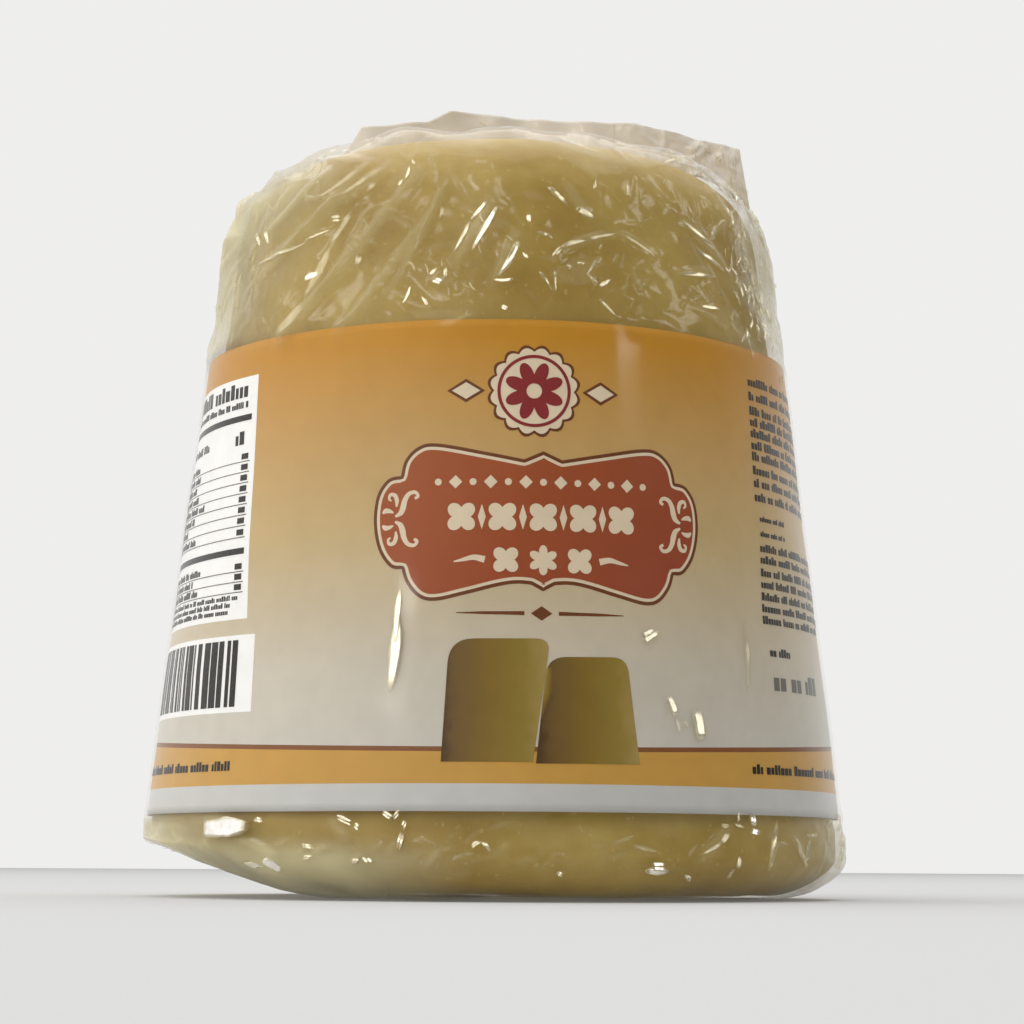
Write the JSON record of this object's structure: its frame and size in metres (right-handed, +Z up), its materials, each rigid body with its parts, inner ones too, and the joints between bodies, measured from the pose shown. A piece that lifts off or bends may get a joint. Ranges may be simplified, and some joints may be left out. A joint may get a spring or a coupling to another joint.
{
  "type": "jaggery block",
  "caption": "Round-shouldered tapered block of jaggery, sealed in a clear film bag with a plain printed sleeve round its middle and a crimped seal standing along the top.",
  "frame": {"origin": "middle of the pack's outline on the flat foot", "axes": "+Z up; -Y is the front of the print; the seal fin runs along X"},
  "size_m": [0.106, 0.1032, 0.1229],
  "materials": {
    "clear_film": "clear crinkled film over jaggery, glossy",
    "printed_film": "printed film, ochre fading down to off-white, satin gloss",
    "jaggery": "lumpy, waxy, dull golden cane sugar"
  },
  "bodies": {
    "root": {"film_bag": "clear_film", "printed_sleeve": "printed_film"}
  },
  "joints": []
}
